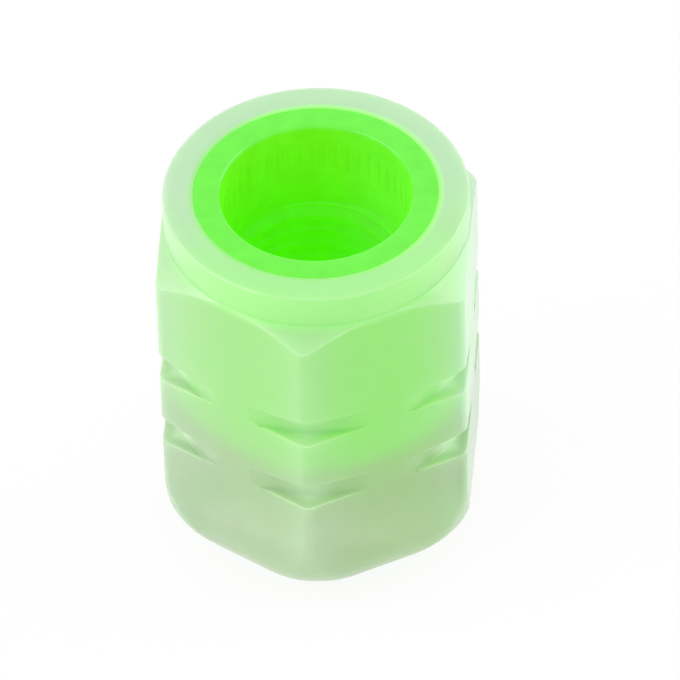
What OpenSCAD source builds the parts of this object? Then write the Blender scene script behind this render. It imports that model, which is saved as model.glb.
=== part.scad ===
// Tyre valve cap: a hexagonal outer shell moulded round a threaded insert.
// It stands on its closed end, with the mouth up. All sizes are in millimetres.

/* [Body] */
// Height over all, from the closed end to the mouth
cap_h = 18; // [16.5:0.5:24]
// Width across the flats of the hexagon
across_flats = 13; // [12.6:0.1:13.6]
// Diameter that the corners of the hexagon are turned down to
corner_d = 14.85; // [14.4:0.05:15]
// Radius of the turned round at the closed end
end_round = 4.2; // [2:0.1:5.5]

/* [Neck] */
// Diameter of the round neck at the mouth
neck_d = 12.9; // [12.2:0.1:13.2]
// Height of the neck's straight side
neck_h = 1.5; // [0.8:0.1:2.5]
// Slope of the shoulder between neck and hexagon, in degrees from level
shoulder_angle = 41; // [20:1:55]
// Radius of the round on the rim's outer edge
rim_round = 0.15; // [0.1:0.05:0.6]

/* [Grooves] */
// Number of turned grooves that part the hexagon into tiers
groove_count = 2; // [1:1:2]
// Depth from the rim to the middle of the first groove
first_groove_depth = 7.05; // [5.5:0.05:7.5]
// Spacing of the grooves
groove_pitch = 3.7; // [2.5:0.1:4.2]
// Width of each groove at the corners
groove_w = 1.35; // [0.8:0.05:1.8]
// Diameter of the grooves' floor
groove_floor_d = 13.1; // [13.1:0.1:13.8]
// Slope of the grooves' flanks, in degrees from level
groove_flank_angle = 15; // [0:1:35]

/* [Insert] */
// Outside diameter of the insert
insert_d = 10.3; // [9.4:0.1:11]
// Length of the insert
insert_h = 10.9; // [9.5:0.1:12]
// Gap all round between insert and shell
insert_gap = 0.01; // [0.01:0.01:0.05]
// Bevel on the insert's lower edge
insert_bevel = 0.5; // [0.2:0.1:0.8]

/* [Bore] */
// Diameter of the lead-in at the mouth
mouth_d = 8.1; // [8.1:0.05:8.6]
// Depth of the lead-in
mouth_depth = 0.8; // [0.4:0.1:1]
// Diameter of the plain socket above the thread
socket_d = 7.84; // [7.8:0.02:7.9]
// Depth from the rim to the end of the plain socket
socket_depth = 4.2; // [3.3:0.1:4.5]
// Height of the sloped ledge between socket and thread
ledge_h = 0.3; // [0.1:0.1:0.6]
// Diameter inside the crests of the thread
thread_bore_d = 6.9; // [6.8:0.05:7]
// Depth from the rim to the floor of the threaded bore
bore_depth = 9.9; // [8:0.1:10.2]

/* [Flutes] */
// Number of flutes round the socket's wall
flute_count = 48; // [24:4:56]
// Depth of each flute below the wall
flute_depth = 0.1; // [0.04:0.02:0.12]
// Diameter of the round that cuts each flute
flute_d = 0.34; // [0.24:0.02:0.36]
// Depth from the rim to the lower end of the flutes
flute_end_depth = 2.7; // [1.6:0.1:3]

/* [Hidden] */
// Sides of a full circle
smooth = 96;
// Sides of the small rounds that cut the flutes
flute_sides = 24;
// How far a cutter runs past the face that it opens
overrun = 1;

hex_corner_r = across_flats / 2 / cos(30);
corner_r = corner_d / 2;
neck_r = neck_d / 2;
socket_r = socket_d / 2;
end_flat_r = corner_r - end_round;
groove_floor_r = groove_floor_d / 2;
flank_h = (corner_r - groove_floor_r) * tan(groove_flank_angle);
shoulder_top = cap_h - neck_h;
shoulder_bottom = shoulder_top - (corner_r - neck_r) * tan(shoulder_angle);
insert_bottom = cap_h - insert_h;

// Half outline of the turned envelope, radius along X and height along Y
module turned_outline() {
    difference() {
        union() {
            square([end_flat_r, shoulder_bottom]);
            translate([0, end_round]) square([corner_r, shoulder_bottom - end_round]);
            intersection() {
                translate([end_flat_r, end_round]) circle(r = end_round, $fn = smooth);
                square([corner_r, end_round]);
            }
            shoulder_outline();
            neck_outline();
        }
        for (i = [0:groove_count - 1]) groove_outline(cap_h - first_groove_depth - i * groove_pitch);
    }
}

// Cone between the hexagon's corners and the neck
module shoulder_outline() {
    polygon([
        [0, shoulder_bottom],
        [corner_r, shoulder_bottom],
        [neck_r, shoulder_top],
        [0, shoulder_top]
    ]);
}

// Round neck, with a small round on the rim's outer edge
module neck_outline() {
    translate([0, shoulder_top]) square([neck_r, neck_h - rim_round]);
    translate([0, shoulder_top]) square([neck_r - rim_round, neck_h]);
    intersection() {
        translate([neck_r - rim_round, cap_h - rim_round]) circle(r = rim_round, $fn = smooth);
        translate([0, cap_h - rim_round]) square([neck_r, rim_round]);
    }
}

// Groove with sloped flanks, which cuts the corners and fades out on the flats
module groove_outline(middle) {
    translate([0, middle]) polygon([
        [groove_floor_r, flank_h - groove_w / 2],
        [corner_r, -groove_w / 2],
        [corner_r + overrun, -groove_w / 2],
        [corner_r + overrun, groove_w / 2],
        [corner_r, groove_w / 2],
        [groove_floor_r, groove_w / 2 - flank_h]
    ]);
}

// Outer shell: a hexagonal bar turned to the outline and opened for the insert
module shell() {
    color("honeydew") difference() {
        intersection() {
            rotate([0, 0, 30]) cylinder(r = hex_corner_r, h = cap_h, $fn = 6);
            rotate_extrude($fn = smooth) turned_outline();
        }
        rotate_extrude($fn = smooth) insert_outline(insert_gap, overrun);
    }
}

// Half outline of the insert, grown at the side by a gap and past the rim by a rise
module insert_outline(gap, rise) {
    polygon([
        [0, insert_bottom],
        [insert_d / 2 + gap - insert_bevel, insert_bottom],
        [insert_d / 2 + gap, insert_bottom + insert_bevel],
        [insert_d / 2 + gap, cap_h + rise],
        [0, cap_h + rise]
    ]);
}

// Half outline of the bore: lead-in, plain socket, ledge and thread bore
module bore_outline() {
    polygon([
        [0, cap_h - bore_depth],
        [thread_bore_d / 2, cap_h - bore_depth],
        [thread_bore_d / 2, cap_h - socket_depth - ledge_h],
        [socket_r, cap_h - socket_depth],
        [socket_r, cap_h - mouth_depth],
        [mouth_d / 2, cap_h],
        [mouth_d / 2, cap_h + overrun],
        [0, cap_h + overrun]
    ]);
}

// Row of shallow flutes that run down the socket's wall and out of the lead-in
module flutes() {
    for (i = [0:flute_count - 1]) rotate([0, 0, (i + 0.5) * 360 / flute_count])
        translate([socket_r + flute_depth - flute_d / 2, 0, cap_h - flute_end_depth])
        cylinder(d = flute_d, h = flute_end_depth + overrun, $fn = flute_sides);
}

// Threaded insert: a plain sleeve with a blind bore
module insert() {
    color("limegreen") difference() {
        rotate_extrude($fn = smooth) insert_outline(0, 0);
        rotate_extrude($fn = smooth) bore_outline();
        flutes();
    }
}

shell();
insert();
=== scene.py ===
"""Tyre valve cap: a milky hexagonal shell moulded round a fluorescent green threaded insert."""

import math

import bpy
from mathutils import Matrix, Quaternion, Vector


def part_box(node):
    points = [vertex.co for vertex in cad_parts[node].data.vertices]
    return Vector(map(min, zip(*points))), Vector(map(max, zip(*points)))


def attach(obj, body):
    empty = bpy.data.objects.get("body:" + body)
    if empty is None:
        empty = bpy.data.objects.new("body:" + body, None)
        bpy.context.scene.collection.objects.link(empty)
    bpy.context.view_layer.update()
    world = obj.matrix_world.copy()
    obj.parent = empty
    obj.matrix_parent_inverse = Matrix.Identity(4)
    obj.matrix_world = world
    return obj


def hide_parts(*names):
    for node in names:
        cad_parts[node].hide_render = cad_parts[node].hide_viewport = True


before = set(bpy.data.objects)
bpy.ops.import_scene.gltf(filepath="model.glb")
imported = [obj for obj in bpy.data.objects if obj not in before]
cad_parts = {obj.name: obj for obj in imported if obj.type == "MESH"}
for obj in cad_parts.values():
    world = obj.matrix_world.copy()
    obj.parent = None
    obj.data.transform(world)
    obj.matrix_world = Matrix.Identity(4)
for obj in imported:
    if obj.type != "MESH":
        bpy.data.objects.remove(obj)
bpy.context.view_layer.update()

bl_info = {
    "name": "Tyre valve cap",
    "version": (1, 0, 0),
    "blender": (4, 5, 0),
    "location": "View3D > Sidebar > Valve cap",
    "description": "Models a translucent hexagonal tyre valve cap and its studio",
    "category": "Add Mesh",
}

MM = 0.001

# Steps of the turned bodies, of the rounds on a drawn line, of the end's round, of the rings above it,
# of the corners' rounds and of the softened edges
TURNED_STEPS = 144
ROUND_STEPS = 4
END_STEPS = 20
RING_STEPS = 20
CORNER_STEPS = 9
EDGE_STEPS = 3

PICTURE_PX = 680
SENSOR_MM = 36.0

SHELL_LOW, SHELL_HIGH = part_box("shell")
INSERT_LOW, INSERT_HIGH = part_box("insert")
CAP_H = SHELL_HIGH[2] - SHELL_LOW[2]


def length(name, default_mm, description):
    """A size in millimetres, shown in the scene's own unit of length."""
    return bpy.props.FloatProperty(
        name=name, description=description, default=default_mm * MM, unit="LENGTH", precision=5
    )


def hex_colour(name, code, description):
    """A colour that is written as sRGB hex and held as linear light."""
    return bpy.props.FloatVectorProperty(
        name=name, description=description, default=linear(code), subtype="COLOR", size=3, min=0, max=1
    )


def linear(code):
    """The linear light of an sRGB hex code such as #98EE7A."""
    values = [int(code[i : i + 2], 16) / 255 for i in (1, 3, 5)]
    return tuple(v / 12.92 if v <= 0.04045 else ((v + 0.055) / 1.055) ** 2.4 for v in values)


class ValveCapShell(bpy.types.PropertyGroup):
    """Sizes and colours of the moulded shell; most of its colours hold painted light."""

    height: length("Height", CAP_H / MM, "Height from the closed end to the mouth")
    across_flats: length("Across flats", (SHELL_HIGH[0] - SHELL_LOW[0]) / MM, "Width across the flats")
    across_corners: length("Across corners", (SHELL_HIGH[1] - SHELL_LOW[1]) / MM, "Width across the corners")
    end_round: length("End round", 2.65, "Radius of the round from the flats to the closed end")
    corner_run: length("Corner run", 1.25, "How far above that round the corners start to get rounder")
    corner_round: length("Corner round", 1.0, "How far back from the corners their rounding starts there")
    neck_d: length("Neck diameter", 12.9, "Diameter of the round neck")
    neck_h: length("Neck height", 1.5, "Height of the neck's straight side")
    shoulder_angle: bpy.props.FloatProperty(
        name="Shoulder angle",
        description="Slope of the shoulder from level",
        default=math.radians(41),
        subtype="ANGLE",
    )
    rim_round: length("Rim round", 0.13, "Radius of the round on the rim's outer edge")
    corner_zone: length("Corner zone", 7.2, "Distance from the axis at which the corners' rounds begin")
    groove_depth: length("First groove", 7.05, "Depth from the rim to the first groove's middle")
    groove_pitch: length("Groove spacing", 3.7, "Spacing of the grooves")
    groove_w: length("Groove width", 1.35, "Width of each groove at the corners")
    groove_floor_d: length("Groove floor", 13.1, "Diameter of the grooves' floor")
    upper_flank: bpy.props.FloatProperty(
        name="Upper flank",
        description="Slope of the grooves' upper flank from level",
        default=math.radians(26),
        subtype="ANGLE",
    )
    lower_flank: bpy.props.FloatProperty(
        name="Lower flank",
        description="Slope of the grooves' lower flank from level",
        default=math.radians(2),
        subtype="ANGLE",
    )
    edge_soft: length("Groove edge", 0.06, "How far back from a groove's edges their rounding starts")
    shoulder_soft: length("Shoulder edge", 0.05, "How far back from that edge its rounding starts")
    # Painted glow: the insert's light seen through the thin neck.
    neck: hex_colour("Neck", "#BCF4A2", "Colour of the thin neck, which glows most")
    # Painted glow of the insert in the wall, as a lit copy for the left side and a shaded copy for the right
    # side.
    painted_glow_lit_side: hex_colour("Glow, lit side", "#B4E198", "The insert's glow in the wall, on the lit side")
    painted_glow_shaded_side: hex_colour("Glow, far side", "#A7EA7F", "The insert's glow in the wall, on the far side")
    mint: hex_colour("Mint", "#D2E6CA", "Colour of the thick, milky wall")
    mint_low: hex_colour("Mint, low", "#CADEC2", "Colour of the thick wall below the insert")
    # The next two colours paint the reflection of the white room on the flat that faces right, darker below
    # the insert.
    edge: hex_colour("Edge", "#CCE4D4", "Colour of the flat that turns away to the right")
    painted_reflection_low: hex_colour("Edge, low", "#AAC4A0", "Colour of that flat below the insert")
    # The rim's front colour has the insert's glow painted in; the back colour is the milky rim's own.
    rim_back: hex_colour("Rim, back", "#CEE4CB", "Colour of the rim at the back")
    rim_front_painted_glow: hex_colour("Rim, front", "#B8EAA6", "Colour of the rim at the front")
    # Painted light and shade below the insert: a lit copy for the left side and a shaded copy for the right
    # side.
    base_painted_lit_side: hex_colour("Base, lit side", "#B9CFA9", "Colour below the insert, on the lit side")
    base_painted_shaded_side: hex_colour("Base, far side", "#B2CB98", "Colour below the insert, on the far side")
    # Painted glow of the insert in the rim beside it, used as colour and as light.
    joint_painted_glow: hex_colour("Joint", "#98F464", "Colour and light of the insert in the rim beside it")


class ValveCapInsert(bpy.types.PropertyGroup):
    """Sizes and colours of the threaded insert."""

    diameter: length("Diameter", (INSERT_HIGH[0] - INSERT_LOW[0]) / MM, "Outside diameter of the insert")
    height: length("Height", (INSERT_HIGH[2] - INSERT_LOW[2]) / MM, "Length of the insert")
    bevel: length("Bevel", 0.5, "Bevel on the insert's lower edge")
    mouth_d: length("Mouth diameter", 8.1, "Diameter of the lead-in at the mouth")
    mouth_depth: length("Mouth depth", 0.8, "Depth of the lead-in")
    socket_d: length("Socket diameter", 7.84, "Diameter of the plain socket above the thread")
    socket_depth: length("Socket depth", 4.35, "Depth from the rim to the end of the socket")
    ledge_h: length("Ledge bevel", 0.15, "Height of the bevel on the ledge above the thread")
    thread_bore_d: length("Thread bore", 6.9, "Diameter inside the thread's crests")
    thread_root_d: length("Thread root", 7.75, "Diameter at the thread's roots")
    thread_pitch: length("Thread pitch", 25.4 / 32, "Spacing of the thread's turns, 32 to the inch")
    bore_depth: length("Bore depth", 9.9, "Depth from the rim to the floor of the bore")
    flute_count: bpy.props.IntProperty(
        name="Flutes", description="Number of flutes round the socket's wall", default=48, min=3
    )
    flute_depth: length("Flute depth", 0.1, "Depth of each flute below the wall")
    flute_d: length("Flute round", 0.34, "Diameter of the round that cuts each flute")
    flute_end: length("Flute end", 2.6, "Depth from the rim to the lower end of the flutes")
    step: length("Step", 0.025, "Width of the small step below the flutes")
    resin: hex_colour("Resin", "#2E7A0C", "Colour of the resin, without the light of its pigment")
    # Darker towards the bottom of the bore; there the pigment's light carries the colour.
    resin_deep: hex_colour("Resin, deep", "#1C5A08", "Colour of the resin deep in the bore")
    face: hex_colour("Face", "#62D43E", "Light that the pigment gives off at the mouth")
    wall: hex_colour("Bore wall", "#60D210", "Light that the pigment gives off in the upper bore")
    deep: hex_colour("Deep bore", "#42DC03", "Light that the pigment gives off deep in the bore")


class ValveCapStage(bpy.types.PropertyGroup):
    """Camera and lights of the studio."""

    elevation: bpy.props.FloatProperty(
        name="Elevation",
        description="Camera's height over level",
        default=math.radians(44.56),
        subtype="ANGLE",
    )
    azimuth: bpy.props.FloatProperty(
        name="Azimuth",
        description="Camera's direction round the cap",
        default=math.radians(-83.99),
        subtype="ANGLE",
    )
    roll: bpy.props.FloatProperty(
        name="Roll", description="Camera's roll", default=math.radians(-1.64), subtype="ANGLE"
    )
    distance: length("Distance", 385, "Distance from the camera to the cap")
    scale: bpy.props.FloatProperty(
        name="Scale", description="Pixels of the picture for each millimetre of the cap", default=23.55
    )
    room_light: bpy.props.FloatProperty(
        name="Room light", description="Strength of the white room as it lights the cap", default=0.84
    )
    key_power: bpy.props.FloatProperty(
        name="Key lamp", description="Power of the lamp at the left front", default=0.65, unit="POWER"
    )
    side_power: bpy.props.FloatProperty(
        name="Side lamp", description="Power of the lamp at the right back", default=0.6, unit="POWER"
    )
    pivot_depth: length("Pivot depth", 7.68, "Depth below the rim of the point that the camera aims by")
    pivot_x: bpy.props.FloatProperty(
        name="Pivot X", description="Pixels from the picture's left edge to that point", default=320.0
    )
    pivot_y: bpy.props.FloatProperty(
        name="Pivot Y", description="Pixels from the picture's top edge to that point", default=322.6
    )


def add_node(tree, kind, inputs=None, **settings):
    """Adds a node, sets its properties, and fills or links its inputs."""
    node = tree.nodes.new(kind)
    for name, value in settings.items():
        setattr(node, name, value)
    for name, value in (inputs or {}).items():
        if isinstance(value, bpy.types.NodeSocket):
            tree.links.new(value, node.inputs[name])
        else:
            node.inputs[name].default_value = value
    return node


def rgba(colour):
    """A colour with full alpha, for a colour socket."""
    return (*colour, 1.0)


def deselected():
    """Leaves nothing selected, so that the next operator acts only on what is chosen for it."""
    bpy.ops.object.select_all(action="DESELECT")


def alone(piece):
    """Makes a piece the only one that is selected, and the active one."""
    deselected()
    bpy.context.view_layer.objects.active = piece
    piece.select_set(True)


def edit_faces(piece, chosen):
    """Opens a piece in edit mode with the faces selected that a test picks out."""
    alone(piece)
    bpy.ops.object.mode_set(mode="EDIT")
    bpy.ops.mesh.select_mode(type="FACE")
    bpy.ops.mesh.select_all(action="DESELECT")
    bpy.ops.object.mode_set(mode="OBJECT")
    for face in piece.data.polygons:
        face.select = chosen(face)
    bpy.ops.object.mode_set(mode="EDIT")


def closed_up():
    """Merges doubled vertices, turns all normals outwards and leaves edit mode."""
    bpy.ops.mesh.select_mode(type="VERT")
    bpy.ops.mesh.select_all(action="SELECT")
    bpy.ops.mesh.remove_doubles(threshold=1e-7)
    bpy.ops.mesh.normals_make_consistent(inside=False)
    bpy.ops.mesh.select_all(action="DESELECT")
    bpy.ops.object.mode_set(mode="OBJECT")


def drawn_line(name, corners):
    """Draws a line in the XZ plane, one vertex extruded from point to point.

    Each corner is its radius, its height and how far back from it its rounding starts.
    """
    deselected()
    bpy.ops.mesh.primitive_plane_add(size=MM, location=(0, 0, 0))
    line = bpy.context.object
    line.name = line.data.name = name
    bpy.ops.object.mode_set(mode="EDIT")
    bpy.ops.mesh.select_mode(type="VERT")
    bpy.ops.mesh.select_all(action="SELECT")
    bpy.ops.mesh.merge(type="CENTER")
    bpy.ops.transform.translate(value=(corners[0][0], 0, corners[0][1]))
    for (from_r, from_h, _), (to_r, to_h, _) in zip(corners, corners[1:]):
        bpy.ops.mesh.extrude_region_move(
            TRANSFORM_OT_translate={"value": (to_r - from_r, 0, to_h - from_h)}
        )
    for radius, height, reach in corners:
        if reach:
            bpy.ops.mesh.select_all(action="DESELECT")
            bpy.ops.object.mode_set(mode="OBJECT")
            for vertex in line.data.vertices:
                vertex.select = (vertex.co - Vector((radius, 0, height))).length < 1e-6
            bpy.ops.object.mode_set(mode="EDIT")
            bpy.ops.mesh.bevel(offset=reach, segments=ROUND_STEPS, affect="VERTICES", clamp_overlap=False)
    bpy.ops.mesh.select_all(action="SELECT")
    return line


def turned_body(name, corners):
    """Spins a drawn line once round the Z axis into a closed body.

    A quarter of a step's turn keeps its edges off the corners of the hexagon and of the flutes.
    """
    body = drawn_line(name, corners)
    bpy.ops.mesh.spin(steps=TURNED_STEPS, angle=math.tau, center=(0, 0, 0), axis=(0, 0, 1))
    bpy.ops.mesh.select_all(action="SELECT")
    bpy.ops.transform.rotate(value=math.tau / TURNED_STEPS / 4, orient_axis="Z", center_override=(0, 0, 0))
    closed_up()
    return body


def cut_by(piece, tool, operation="DIFFERENCE"):
    """Cuts a piece with a tool, or keeps what both share, and takes the tool away."""
    modifier = piece.modifiers.new(tool.name, "BOOLEAN")
    modifier.operation = operation
    modifier.solver = "EXACT"
    modifier.object = tool
    alone(piece)
    bpy.ops.object.modifier_apply(modifier=modifier.name)
    bpy.data.objects.remove(tool)


def even_shading(piece):
    """Shades a piece smooth over its rounds, with the flats kept flat beside them."""
    alone(piece)
    bpy.ops.object.shade_smooth_by_angle(angle=math.radians(50))
    modifier = piece.modifiers.new("even_shading", "WEIGHTED_NORMAL")
    modifier.keep_sharp = True
    bpy.ops.object.modifier_apply(modifier=modifier.name)


def turned_shell_line(sizes, insert):
    """The shell's turned line, from below the end over grooves, shoulder and rim into the pocket.

    It runs outside the hexagon's corners, so only its grooves, shoulder and neck cut the bar.
    """
    corner_r, neck_r = sizes.across_corners / 2, sizes.neck_d / 2
    floor_r, pocket_r = sizes.groove_floor_d / 2, insert.diameter / 2
    top = sizes.height
    clear_r = corner_r + 0.3 * MM
    line = [(0, -1 * MM, 0), (clear_r, -1 * MM, 0)]
    half = sizes.groove_w / 2
    upper, lower = math.tan(sizes.upper_flank), math.tan(sizes.lower_flank)
    for depth in (sizes.groove_depth + sizes.groove_pitch, sizes.groove_depth):
        middle = top - depth
        line += [
            (clear_r, middle - half - (clear_r - corner_r) * lower, 0),
            (floor_r, middle - half + (corner_r - floor_r) * lower, 0.08 * MM),
            (floor_r, middle + half - (corner_r - floor_r) * upper, 0.08 * MM),
            (clear_r, middle + half + (clear_r - corner_r) * upper, 0),
        ]
    shoulder_top = top - sizes.neck_h
    low = top - insert.height
    return line + [
        (clear_r, shoulder_top - (clear_r - neck_r) * math.tan(sizes.shoulder_angle), 0),
        (neck_r, shoulder_top, 0.03 * MM),
        (neck_r, top, sizes.rim_round),
        (pocket_r, top, 0.04 * MM),
        (pocket_r, low + insert.bevel, 0.05 * MM),
        (pocket_r - insert.bevel, low, 0.05 * MM),
        (0, low, 0),
    ]


def rounded(piece, width_of, segments):
    """Rounds each edge of a piece as wide as width_of says for the edge and its two ends."""
    points = piece.data.vertices
    widths = [width_of(edge, *[points[k].co for k in edge.vertices]) for edge in piece.data.edges]
    weights = piece.data.attributes.new("bevel_weight_edge", "FLOAT", "EDGE").data
    for weight, width in zip(weights, widths):
        weight.value = width / max(widths)
    modifier = piece.modifiers.new("rounded", "BEVEL")
    modifier.limit_method = "WEIGHT"
    modifier.width = max(widths)
    modifier.segments = segments
    modifier.use_clamp_overlap = False
    alone(piece)
    bpy.ops.object.modifier_apply(modifier=modifier.name)
    piece.data.attributes.remove(piece.data.attributes["bevel_weight_edge"])


def hexagonal_bar(sizes):
    """A six-sided bar that stands on its rounded end, with corners that get rounder towards it.

    The rings above the end let each corner's width settle to the one that meets the turned size.
    """
    sharp = sizes.across_flats / 2 / math.cos(math.radians(30))
    blend = (sharp - sizes.across_corners / 2) / (1 / math.cos(math.radians(30)) - 1)
    slim = blend * math.tan(math.radians(30))
    foot_share, end_share = 0.27, 0.75
    deselected()
    bpy.ops.mesh.primitive_cylinder_add(
        vertices=6, radius=sharp, depth=2 * sizes.height, location=(0, 0, 0), rotation=(0, 0, 0)
    )
    bar = bpy.context.object
    bar.name = bar.data.name = "shell_moulding"
    bpy.ops.object.mode_set(mode="EDIT")
    bpy.ops.mesh.select_all(action="SELECT")
    bpy.ops.transform.translate(value=(0, 0, sizes.height))
    bpy.ops.object.mode_set(mode="OBJECT")
    edit_faces(bar, lambda face: face.normal.z < -0.9)
    bpy.ops.mesh.bevel(offset=sizes.end_round, segments=END_STEPS, clamp_overlap=False)
    for k in range(2 * RING_STEPS + 1):
        height = sizes.end_round + sizes.corner_run * k / RING_STEPS
        bpy.ops.mesh.select_all(action="SELECT")
        bpy.ops.mesh.bisect(plane_co=(0, 0, height), plane_no=(0, 0, 1))
    closed_up()

    def corner_width(edge, one, other):
        if (one.xy.normalized() - other.xy.normalized()).length > 1e-3:
            return 0
        height = (one.z + other.z) / 2
        if height > sizes.end_round:
            rise = min((height - sizes.end_round) / sizes.corner_run, 1)
            return slim + (sizes.corner_round - slim) * (1 - rise) ** 1.5
        spread = foot_share + (end_share - foot_share) * (1 - height / sizes.end_round)
        return spread * (one.xy.length + other.xy.length) / 4

    rounded(bar, corner_width, CORNER_STEPS)
    bpy.ops.object.mode_set(mode="EDIT")
    closed_up()
    return bar


def moulded_shell(sizes, insert):
    """The shell: a hexagonal bar cut to the turned line, with its edges softened."""
    turned = turned_body("turned_body", turned_shell_line(sizes, insert))
    shell = hexagonal_bar(sizes)
    cut_by(shell, turned, "INTERSECT")
    flat_r = sizes.across_flats / 2
    edit_faces(
        shell,
        lambda face: abs(face.normal.z) < 0.01
        and (abs(face.normal.dot(face.center) - flat_r) < 1e-6 or face.center.xy.length > sizes.corner_zone),
    )
    bpy.ops.mesh.region_to_loop()
    bpy.ops.object.mode_set(mode="OBJECT")

    def edge_width(edge, one, other):
        place = (one + other) / 2
        if not edge.select or place.z < sizes.end_round + 2.2 * sizes.corner_run:
            return 0
        in_groove = sizes.height - place.z > sizes.groove_depth - sizes.groove_w
        widest = sizes.edge_soft if in_groove else sizes.shoulder_soft
        spare = place.xy.length - sizes.groove_floor_d / 2
        return widest * min(max(spare / (0.25 * MM), 0), 1)

    rounded(shell, edge_width, EDGE_STEPS)
    even_shading(shell)
    return shell


def thread_coil(sizes, top):
    """The coil that cuts the thread: one turn's groove, screwed down from the socket."""
    crest_r, root_r = sizes.thread_bore_d / 2, sizes.thread_root_d / 2
    pitch = sizes.thread_pitch
    start = top - sizes.bore_depth + 0.5 * MM
    wide, narrow, inner_r = 0.375 * pitch, 0.0625 * pitch, crest_r - 0.2 * MM
    coil = drawn_line("thread_coil", [
        (inner_r, start - wide, 0),
        (crest_r, start - wide, 0),
        (root_r, start - narrow, 0.04 * MM),
        (root_r, start + narrow, 0.04 * MM),
        (crest_r, start + wide, 0),
        (inner_r, start + wide, 0),
        (inner_r, start - wide, 0),
    ])
    closed_up()
    modifier = coil.modifiers.new("turns", "SCREW")
    modifier.angle = math.tau
    modifier.screw_offset = pitch
    modifier.iterations = math.ceil((sizes.bore_depth - sizes.socket_depth - 0.2 * MM) / pitch)
    modifier.steps = modifier.render_steps = TURNED_STEPS
    alone(coil)
    bpy.ops.object.modifier_apply(modifier=modifier.name)
    bpy.ops.object.mode_set(mode="EDIT")
    bpy.ops.mesh.select_mode(type="VERT")
    bpy.ops.mesh.select_all(action="SELECT")
    bpy.ops.mesh.remove_doubles(threshold=1e-7)
    bpy.ops.mesh.fill_holes(sides=0)
    closed_up()
    return coil


def flute_cutters(sizes, top):
    """The round cutters of the socket's flutes: one, tapered at its lower end, and spun copies."""
    radius = sizes.flute_d / 2
    place = sizes.socket_d / 2 + sizes.flute_depth - radius
    high, low = top - sizes.mouth_depth, top - sizes.flute_end
    run_out = 0.4 * MM
    deselected()
    bpy.ops.mesh.primitive_cylinder_add(
        vertices=16, radius=radius, depth=high - low - 2 * run_out, location=(place, 0, (high + low) / 2)
    )
    cutters = bpy.context.object
    cutters.name = cutters.data.name = "flute_cutters"
    bpy.ops.object.transform_apply(location=True, rotation=True, scale=True)
    for way in (-1, 1):
        edit_faces(cutters, lambda face: face.normal.z * way > 0.9)
        bpy.ops.mesh.extrude_region_move(TRANSFORM_OT_translate={"value": (0, 0, way * run_out)})
        bpy.ops.transform.resize(value=(0.5, 0.5, 1), center_override=(place, 0, 0))
        bpy.ops.object.mode_set(mode="OBJECT")
    bpy.ops.object.mode_set(mode="EDIT")
    bpy.ops.mesh.select_all(action="SELECT")
    bpy.ops.mesh.spin(
        steps=sizes.flute_count, dupli=True, angle=math.tau, center=(0, 0, 0), axis=(0, 0, 1)
    )
    closed_up()
    return cutters


def threaded_insert(sizes, top):
    """The insert: turned outside and inside, fluted at the socket and threaded below it."""
    outer_r, low = sizes.diameter / 2, top - sizes.height
    mouth_r, socket_r, crest_r = sizes.mouth_d / 2, sizes.socket_d / 2, sizes.thread_bore_d / 2
    insert = turned_body("threaded_insert", [
        (0, low, 0),
        (outer_r - sizes.bevel, low, 0.05 * MM),
        (outer_r, low + sizes.bevel, 0.05 * MM),
        (outer_r, top, 0.04 * MM),
        (mouth_r, top, 0.15 * MM),
        (socket_r + sizes.step, top - sizes.mouth_depth, 0.1 * MM),
        (socket_r + sizes.step, top - sizes.flute_end, 0.01 * MM),
        (socket_r, top - sizes.flute_end - 2.5 * sizes.step, 0.02 * MM),
        (socket_r, top - sizes.socket_depth, 0.18 * MM),
        (crest_r + 0.1 * MM, top - sizes.socket_depth - 0.02 * MM, 0.03 * MM),
        (crest_r, top - sizes.socket_depth - sizes.ledge_h, 0.03 * MM),
        (crest_r, top - sizes.bore_depth, 0.15 * MM),
        (0, top - sizes.bore_depth, 0),
    ])
    cut_by(insert, flute_cutters(sizes, top))
    cut_by(insert, thread_coil(sizes, top))
    even_shading(insert)
    return insert


def radius_and_height(tree):
    """Sockets for the distance from the axis and the height, read from the piece's own place."""
    place = add_node(tree, "ShaderNodeTexCoord").outputs["Object"]
    parts = add_node(tree, "ShaderNodeSeparateXYZ", {"Vector": place})
    level = add_node(tree, "ShaderNodeCombineXYZ", {"X": parts.outputs["X"], "Y": parts.outputs["Y"]})
    reach = add_node(tree, "ShaderNodeVectorMath", {0: level.outputs[0]}, operation="LENGTH")
    return place, reach.outputs["Value"], parts.outputs["Z"]


def ramp(tree, value, start, end):
    """A factor that rises smoothly from 0 to 1 as the value goes from start to end."""
    node = add_node(
        tree,
        "ShaderNodeMapRange",
        {"Value": value, "From Min": start, "From Max": end},
        interpolation_type="SMOOTHSTEP",
    )
    return node.outputs["Result"]


def towards(tree, place, direction, start, end):
    """A factor that rises from 0 to 1 as the place goes in a direction, from start to end."""
    along = add_node(tree, "ShaderNodeVectorMath", {0: place, 1: direction}, operation="DOT_PRODUCT")
    return ramp(tree, along.outputs["Value"], start, end)


def share_of(tree, factor, share):
    """A factor times a fixed share or another factor."""
    return add_node(tree, "ShaderNodeMath", {0: factor, 1: share}, operation="MULTIPLY").outputs[0]


def mixed(tree, factor, colour_a, colour_b):
    """A colour between two others."""
    node = add_node(tree, "ShaderNodeMix", {"Factor": factor}, data_type="RGBA")
    for socket, colour in ((node.inputs[6], colour_a), (node.inputs[7], colour_b)):
        if isinstance(colour, bpy.types.NodeSocket):
            tree.links.new(colour, socket)
        else:
            socket.default_value = rgba(colour)
    return node.outputs[2]


def new_material(name):
    """An empty node material with its output and principled shader joined."""
    material = bpy.data.materials.new(name)
    material.use_nodes = True
    tree = material.node_tree
    tree.nodes.clear()
    shader = add_node(tree, "ShaderNodeBsdfPrincipled")
    add_node(tree, "ShaderNodeOutputMaterial", {"Surface": shader.outputs[0]})
    return material, tree, shader


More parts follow.
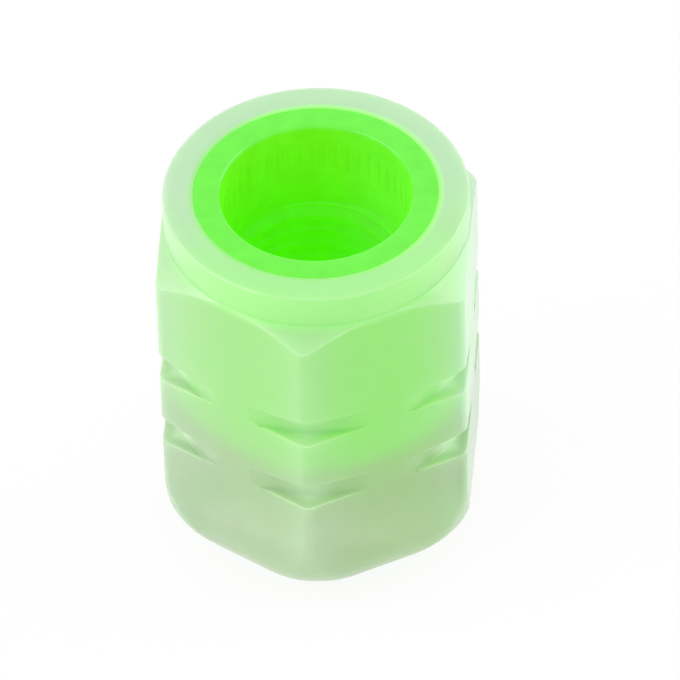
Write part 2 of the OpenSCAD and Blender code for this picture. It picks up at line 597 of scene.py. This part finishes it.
def groove_share(tree, sizes, place, height):
    """1 inside the grooves and 0 on the flats: how far a place lies in from the nearest flat."""
    across = None
    for turn in (0, 60, 120):
        side = (math.cos(math.radians(turn)), math.sin(math.radians(turn)), 0)
        along = add_node(tree, "ShaderNodeVectorMath", {0: place, 1: side}, operation="DOT_PRODUCT")
        out = add_node(tree, "ShaderNodeMath", {0: along.outputs["Value"]}, operation="ABSOLUTE").outputs[0]
        if across:
            out = add_node(tree, "ShaderNodeMath", {0: across, 1: out}, operation="MAXIMUM").outputs[0]
        across = out
    inward = ramp(tree, across, sizes.across_flats / 2 - 0.2 * MM, sizes.across_flats / 2 - 0.75 * MM)
    lowest = sizes.height - sizes.groove_depth - sizes.groove_pitch - sizes.groove_w
    highest = sizes.height - sizes.groove_depth + sizes.groove_w
    band = share_of(
        tree, ramp(tree, height, lowest, lowest + 0.2 * MM), ramp(tree, height, highest, highest - 0.2 * MM)
    )
    return share_of(tree, inward, band)


def milky_moulded_polypropylene(sizes, insert):
    """Translucent polypropylene, injection moulded: cloudy inside under a glossy skin.

    Part of the light goes through to the insert, which so tints the thin parts of the wall.
    Much of the look is painted into the colour by place: the insert's glow in the wall, a lit
    left side and a shaded right side, painted sheen along the side edges, a painted reflection
    on the flat that faces right, and painted glow at the joint and in the grooves.
    """
    material, tree, shader = new_material("milky_moulded_polypropylene")
    place, reach, height = radius_and_height(tree)
    top = sizes.height
    # Painted light and shade across the cap: 0 on the lit left side, 1 on the shaded right side.
    far = towards(tree, place, (1, 0, 0), -5.5 * MM, 5 * MM)
    thick = share_of(tree, ramp(tree, reach, 6.6 * MM, 7.5 * MM), 0.42)
    # Painted light and sheen along the left edge, and painted sheen along the right edge.
    painted_light_left_edge = share_of(tree, towards(tree, place, (-1, 0.1, 0), 2.2 * MM, 7.2 * MM), 0.7)
    painted_sheen_right_edge = share_of(tree, towards(tree, place, (1, 0.1, 0), 2.8 * MM, 7.0 * MM), 0.5)
    # Painted reflection on the flat that faces right.
    painted_reflection_flat = share_of(tree, towards(tree, place, (1, 0, 0), 5.8 * MM, 6.5 * MM), 0.6)
    # The insert's glow is painted into the wall, lit on the left and shaded on the right; below the insert
    # the base colour is painted lit and shaded the same way.
    lit = mixed(tree, far, sizes.painted_glow_lit_side, sizes.painted_glow_shaded_side)
    unlit = mixed(tree, far, sizes.base_painted_lit_side, sizes.base_painted_shaded_side)
    # How high up the insert's painted glow reaches in the wall, along a slight slant.
    slant = add_node(
        tree, "ShaderNodeVectorMath", {0: place, 1: (0.1, 0, 1)}, operation="DOT_PRODUCT"
    ).outputs["Value"]
    painted_glow_zone = ramp(tree, slant, top - insert.height - 1.4 * MM, top - insert.height + 3.2 * MM)
    colour = mixed(tree, painted_glow_zone, unlit, lit)
    milk = mixed(tree, painted_glow_zone, sizes.mint_low, sizes.mint)
    cut_in = groove_share(tree, sizes, place, height)
    slope = math.tan(sizes.shoulder_angle)
    lift = add_node(
        tree, "ShaderNodeMath", {0: reach, 1: slope, 2: height}, operation="MULTIPLY_ADD"
    ).outputs[0]
    cone = top - sizes.neck_h + sizes.neck_d / 2 * slope
    turned_off = share_of(tree, ramp(tree, lift, cone - 0.12 * MM, cone - 0.03 * MM), 0.45)
    thin = share_of(
        tree,
        ramp(tree, height, top - sizes.neck_h - 0.5 * MM, top - sizes.neck_h),
        ramp(tree, reach, 6.75 * MM, 6.5 * MM),
    )
    # Towards the milky colour: where the wall is thick at the corners, in the grooves as painted light that
    # lifts their shade, and on the shoulder's cone.
    for pale in (thick, share_of(tree, cut_in, 0.6), turned_off):
        colour = mixed(tree, pale, colour, milk)
    # The thin neck gets the painted glow of the insert behind it.
    colour = mixed(tree, thin, colour, sizes.neck)
    # Painted light and sheen on the left edge and painted sheen on the right edge, towards the milky colour.
    for pale in (painted_light_left_edge, painted_sheen_right_edge):
        colour = mixed(tree, pale, colour, milk)
    # Painted reflection of the white room on the flat that faces right, darker below the insert.
    colour = mixed(tree, painted_reflection_flat, colour, mixed(tree, painted_glow_zone, sizes.painted_reflection_low, sizes.edge))
    cloud = add_node(
        tree,
        "ShaderNodeTexNoise",
        {"Vector": place, "Scale": 1 / (2.2 * MM), "Detail": 3.0, "Roughness": 0.5},
    ).outputs["Fac"]
    drift = add_node(
        tree,
        "ShaderNodeMapRange",
        {"Value": cloud, "From Min": 0.3, "From Max": 0.7, "To Min": 0.0, "To Max": 0.1},
    ).outputs["Result"]
    colour = mixed(tree, drift, colour, sizes.mint)
    # The rim is painted greener towards the front with the insert's glow.
    front = towards(tree, place, (0.2, -1, 0), -2 * MM, 6 * MM)
    rim = ramp(tree, height, top - 0.25 * MM, top - 0.03 * MM)
    colour = mixed(tree, rim, colour, mixed(tree, front, sizes.rim_back, sizes.rim_front_painted_glow))
    # Painted glow of the insert in the rim right beside it.
    beside = ramp(tree, reach, insert.diameter / 2 + 0.3 * MM, insert.diameter / 2)
    colour = mixed(tree, share_of(tree, beside, 0.7), colour, sizes.joint_painted_glow)
    # Painted glow at the joint, given off as light on the upper right side only.
    painted_bright_side = towards(tree, place, (0.8, 0.6, 0), -2 * MM, 3 * MM)
    painted_glow_light = mixed(tree, share_of(tree, beside, painted_bright_side), (0, 0, 0), sizes.joint_painted_glow)
    # Painted light in the grooves: the milky colour given off as light, more along the side edges and below
    # the insert.
    sides = add_node(tree, "ShaderNodeMath", {0: painted_light_left_edge, 1: painted_sheen_right_edge}, operation="ADD").outputs[0]
    dim = add_node(tree, "ShaderNodeMath", {0: painted_glow_zone, 1: -0.5, 2: 0.7}, operation="MULTIPLY_ADD").outputs[0]
    painted_groove_light = add_node(tree, "ShaderNodeMath", {0: sides, 1: dim}, operation="ADD").outputs[0]
    painted_glow_light = mixed(tree, share_of(tree, cut_in, painted_groove_light), painted_glow_light, milk)
    ripple = add_node(
        tree, "ShaderNodeTexNoise", {"Vector": place, "Scale": 1 / (0.8 * MM), "Detail": 2.0}
    ).outputs["Fac"]
    rough = add_node(
        tree, "ShaderNodeMapRange", {"Value": ripple, "To Min": 0.3, "To Max": 0.4}
    ).outputs["Result"]
    bump = add_node(
        tree, "ShaderNodeBump", {"Height": ripple, "Strength": 0.2, "Distance": 0.01 * MM}
    ).outputs["Normal"]
    tree.links.new(colour, shader.inputs["Base Color"])
    # The emission carries the painted glow at the joint and the painted light in the grooves.
    tree.links.new(painted_glow_light, shader.inputs["Emission Color"])
    shader.inputs["Emission Strength"].default_value = 0.3
    tree.links.new(rough, shader.inputs["Roughness"])
    tree.links.new(bump, shader.inputs["Normal"])
    shader.inputs["IOR"].default_value = 1.49
    shader.inputs["Transmission Weight"].default_value = 0.3
    shader.inputs["Subsurface Weight"].default_value = 1.0
    shader.inputs["Subsurface Radius"].default_value = (0.8, 1.0, 0.7)
    shader.inputs["Subsurface Scale"].default_value = 0.8 * MM
    shader.inputs["Coat Weight"].default_value = 0.5
    shader.inputs["Coat Roughness"].default_value = 0.08
    return material


def fluorescent_moulded_resin(sizes, top):
    """Green resin with a fluorescent pigment, injection moulded: smooth, and lit from within.

    The pigment gives back as green the light that it takes in, also deep in the bore.
    That glow is painted as emission by place, with painted light that makes the right of the bore brighter.
    """
    material, tree, shader = new_material("fluorescent_moulded_resin")
    place, reach, height = radius_and_height(tree)
    slant = add_node(
        tree, "ShaderNodeVectorMath", {0: place, 1: (0.25, 0, 1)}, operation="DOT_PRODUCT"
    ).outputs["Value"]
    down = ramp(tree, slant, top - 0.5 * MM, top - 6.5 * MM)
    mouth = ramp(tree, height, top - 0.3 * MM, top)
    light = mixed(tree, down, sizes.wall, sizes.deep)
    light = mixed(tree, mouth, light, sizes.face)
    # Painted light: the right side of the bore is brighter, mixed towards the mouth's colour.
    painted_bright_side = share_of(tree, towards(tree, place, (1, 0.2, 0), 0.5 * MM, 4 * MM), 0.35)
    light = mixed(tree, painted_bright_side, light, sizes.face)
    cloud = add_node(
        tree, "ShaderNodeTexNoise", {"Vector": place, "Scale": 1 / (0.9 * MM), "Detail": 2.0}
    ).outputs["Fac"]
    rough = add_node(
        tree, "ShaderNodeMapRange", {"Value": cloud, "To Min": 0.4, "To Max": 0.5}
    ).outputs["Result"]
    bump = add_node(
        tree, "ShaderNodeBump", {"Height": cloud, "Strength": 0.1, "Distance": 0.01 * MM}
    ).outputs["Normal"]
    faint = add_node(
        tree,
        "ShaderNodeMapRange",
        {"Value": cloud, "From Min": 0.3, "From Max": 0.7, "To Min": 0.0, "To Max": 0.15},
    ).outputs["Result"]
    resin = mixed(tree, down, sizes.resin, sizes.resin_deep)
    tree.links.new(mixed(tree, faint, resin, sizes.face), shader.inputs["Base Color"])
    tree.links.new(rough, shader.inputs["Roughness"])
    tree.links.new(bump, shader.inputs["Normal"])
    tree.links.new(light, shader.inputs["Emission Color"])
    shader.inputs["Emission Strength"].default_value = 1.0
    shader.inputs["IOR"].default_value = 1.49
    shelf, above_shelf = top - 4.36 * MM, top - 4.2 * MM
    polished = add_node(
        tree,
        "ShaderNodeMapRange",
        {"Value": height, "From Min": shelf, "From Max": above_shelf, "To Min": 0.03, "To Max": 0.5},
    ).outputs["Result"]
    tree.links.new(polished, shader.inputs["Coat Weight"])
    shader.inputs["Specular IOR Level"].default_value = 0.15
    shader.inputs["Coat Roughness"].default_value = 0.1
    shader.inputs["Subsurface Weight"].default_value = 0.4
    shader.inputs["Subsurface Radius"].default_value = (0.4, 1.0, 0.3)
    shader.inputs["Subsurface Scale"].default_value = 0.4 * MM
    return material


def finish_piece(piece, node, material):
    """Gives a piece its material and body, and puts it in the place of its CAD node."""
    piece.data.materials.clear()
    piece.data.materials.append(material)
    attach(piece, "root")
    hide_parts(node)


class VALVECAP_OT_shell(bpy.types.Operator):
    """Models the hexagonal shell as one moulding"""

    bl_idname = "valvecap.shell"
    bl_label = "Moulded shell"

    def execute(self, context):
        sizes, insert = context.scene.valve_cap_shell, context.scene.valve_cap_insert
        shell = moulded_shell(sizes, insert)
        finish_piece(shell, "shell", milky_moulded_polypropylene(sizes, insert))
        return {"FINISHED"}


class VALVECAP_OT_insert(bpy.types.Operator):
    """Models the threaded insert as one moulding"""

    bl_idname = "valvecap.insert"
    bl_label = "Threaded insert"

    def execute(self, context):
        sizes, top = context.scene.valve_cap_insert, context.scene.valve_cap_shell.height
        insert = threaded_insert(sizes, top)
        finish_piece(insert, "insert", fluorescent_moulded_resin(sizes, top))
        return {"FINISHED"}


def seen_share(tree):
    """1 for what the camera sees, itself or in a gloss or through a clear body, and else 0."""
    path = add_node(tree, "ShaderNodeLightPath").outputs
    seen = add_node(
        tree, "ShaderNodeMath", {0: path["Is Camera Ray"], 1: path["Is Glossy Ray"]}, operation="MAXIMUM"
    ).outputs[0]
    return add_node(
        tree, "ShaderNodeMath", {0: seen, 1: path["Is Transmission Ray"]}, operation="MAXIMUM"
    ).outputs[0]


def white_studio_paper():
    """Matt white paper that stays near white: where it is seen, most of its light is its own."""
    material = bpy.data.materials.new("white_studio_paper")
    material.use_nodes = True
    tree = material.node_tree
    tree.nodes.clear()
    matt = add_node(tree, "ShaderNodeBsdfDiffuse", {"Color": rgba(linear("#F4F4F2"))})
    light = add_node(tree, "ShaderNodeEmission", {"Color": (1, 1, 1, 1), "Strength": 1.0})
    share = add_node(
        tree, "ShaderNodeMath", {0: seen_share(tree), 1: 0.9}, operation="MULTIPLY"
    ).outputs[0]
    both = add_node(
        tree, "ShaderNodeMixShader", {0: share, 1: matt.outputs[0], 2: light.outputs[0]}
    )
    add_node(tree, "ShaderNodeOutputMaterial", {"Surface": both.outputs[0]})
    return material


def add_lamp(name, place, aim, width, height, power):
    """A soft rectangular lamp that points at a place on the cap."""
    bpy.ops.object.light_add(type="AREA", location=place)
    lamp = bpy.context.object
    lamp.name = name
    lamp.data.shape = "RECTANGLE"
    lamp.data.size, lamp.data.size_y = width, height
    lamp.data.energy = power
    lamp.rotation_euler = (Vector(aim) - Vector(place)).to_track_quat("-Z", "Y").to_euler()


class VALVECAP_OT_studio(bpy.types.Operator):
    """Adds the floor, the lamps, the white surroundings and the camera"""

    bl_idname = "valvecap.studio"
    bl_label = "Studio"

    def execute(self, context):
        stage = context.scene.valve_cap_stage
        bpy.ops.mesh.primitive_plane_add(size=3, location=(0, 0, 0))
        floor = context.object
        floor.name = "studio_floor"
        floor.data.materials.append(white_studio_paper())

        world = bpy.data.worlds.new("soft_white_room")
        context.scene.world = world
        world.use_nodes = True
        tree = world.node_tree
        tree.nodes.clear()
        room = add_node(tree, "ShaderNodeBackground", {"Color": (1, 1, 1, 1), "Strength": stage.room_light})
        seen = add_node(tree, "ShaderNodeBackground", {"Color": (1, 1, 1, 1), "Strength": 1.0})
        both = add_node(
            tree, "ShaderNodeMixShader", {0: seen_share(tree), 1: room.outputs[0], 2: seen.outputs[0]}
        )
        add_node(tree, "ShaderNodeOutputWorld", {"Surface": both.outputs[0]})

        middle = (0, 0, CAP_H / 2)
        add_lamp("key_lamp", (-0.296, -0.114, 0.223), middle, 0.4, 0.1, stage.key_power)
        add_lamp("side_lamp", (0.33, 0.12, 0.155), middle, 0.3, 0.3, stage.side_power)

        outward = Vector((
            math.cos(stage.elevation) * math.cos(stage.azimuth),
            math.cos(stage.elevation) * math.sin(stage.azimuth),
            math.sin(stage.elevation),
        ))
        pivot = Vector((0, 0, CAP_H - stage.pivot_depth))
        spot = pivot + outward * stage.distance
        upright = (-outward).to_track_quat("-Z", "Y") @ Quaternion((0, 0, 1), stage.roll)
        per_px = MM / stage.scale
        aside = Vector((
            (PICTURE_PX / 2 - stage.pivot_x) * per_px,
            (stage.pivot_y - PICTURE_PX / 2) * per_px,
            0,
        ))
        aim = pivot + upright @ aside
        bpy.ops.object.camera_add(location=spot)
        camera = context.object
        camera.name = "photo_camera"
        turned = (aim - spot).to_track_quat("-Z", "Y") @ Quaternion((0, 0, 1), stage.roll)
        camera.rotation_euler = turned.to_euler()
        camera.data.sensor_width = SENSOR_MM
        camera.data.lens = stage.scale * stage.distance / MM / PICTURE_PX * SENSOR_MM
        camera.data.clip_start = 0.001
        context.scene.camera = camera
        context.scene.view_settings.view_transform = "Standard"
        return {"FINISHED"}


class VALVECAP_PT_tools(bpy.types.Panel):
    """Lists the steps that make the valve cap and its studio"""

    bl_label = "Tyre valve cap"
    bl_space_type = "VIEW_3D"
    bl_region_type = "UI"
    bl_category = "Valve cap"

    def draw(self, context):
        for step in STEPS:
            self.layout.operator(step.bl_idname)


SETTINGS = {
    "valve_cap_shell": ValveCapShell,
    "valve_cap_insert": ValveCapInsert,
    "valve_cap_stage": ValveCapStage,
}
STEPS = (VALVECAP_OT_shell, VALVECAP_OT_insert, VALVECAP_OT_studio)


def register():
    for group in SETTINGS.values():
        bpy.utils.register_class(group)
    for name, group in SETTINGS.items():
        setattr(bpy.types.Scene, name, bpy.props.PointerProperty(type=group))
    for step in STEPS:
        bpy.utils.register_class(step)
    bpy.utils.register_class(VALVECAP_PT_tools)


def unregister():
    bpy.utils.unregister_class(VALVECAP_PT_tools)
    for step in reversed(STEPS):
        bpy.utils.unregister_class(step)
    for name, group in SETTINGS.items():
        delattr(bpy.types.Scene, name)
        bpy.utils.unregister_class(group)


def main():
    register()
    bpy.ops.valvecap.shell()
    bpy.ops.valvecap.insert()
    bpy.ops.valvecap.studio()


if __name__ == "__main__":
    main()
